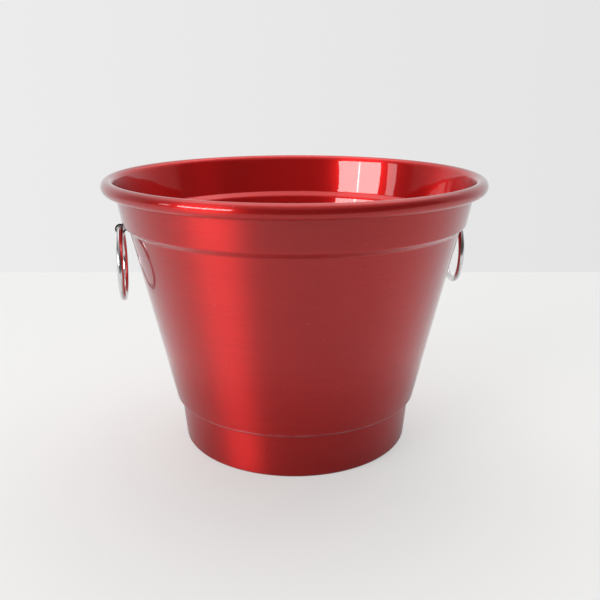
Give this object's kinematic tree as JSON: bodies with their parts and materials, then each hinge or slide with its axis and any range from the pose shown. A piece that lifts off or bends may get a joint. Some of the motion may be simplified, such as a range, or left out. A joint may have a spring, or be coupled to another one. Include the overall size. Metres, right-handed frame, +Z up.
{
  "type": "metal planter pot",
  "caption": "Round tapered metal planter pot with a rolled rim, plain band, stepped foot and loose ring handles that hang in split pins.",
  "frame": {"origin": "centre of the pot's base, on the plane that the pot stands on", "axes": "+Z up along the pot's axis, +X towards the right ring handle and -X towards the left one, -Y towards the viewer"},
  "size_m": [0.25, 0.25, 0.1812],
  "materials": {
    "red_lacquer": "clear red lacquer over horizontally brushed metal, high gloss",
    "dark_steel": "dark polished steel",
    "polished_steel": "bright polished plating"
  },
  "bodies": {
    "pot": {"pot_body": "red_lacquer", "split_pin_left": "dark_steel", "split_pin_right": "dark_steel"},
    "left_ring": {"ring_handle_left": "polished_steel"},
    "right_ring": {"ring_handle_right": "polished_steel"}
  },
  "joints": [
    {"name": "left_ring_swing", "type": "hinge", "parent": "pot", "child": "left_ring", "pos_m": [-0.11449, 0, 0.1488], "axis": [0.0436, 0.999, 0], "range_deg": [-15, 148]},
    {"name": "right_ring_swing", "type": "hinge", "parent": "pot", "child": "right_ring", "pos_m": [0.11449, 0, 0.1488], "axis": [-0.1392, -0.9903, 0], "range_deg": [-15, 148]}
  ]
}
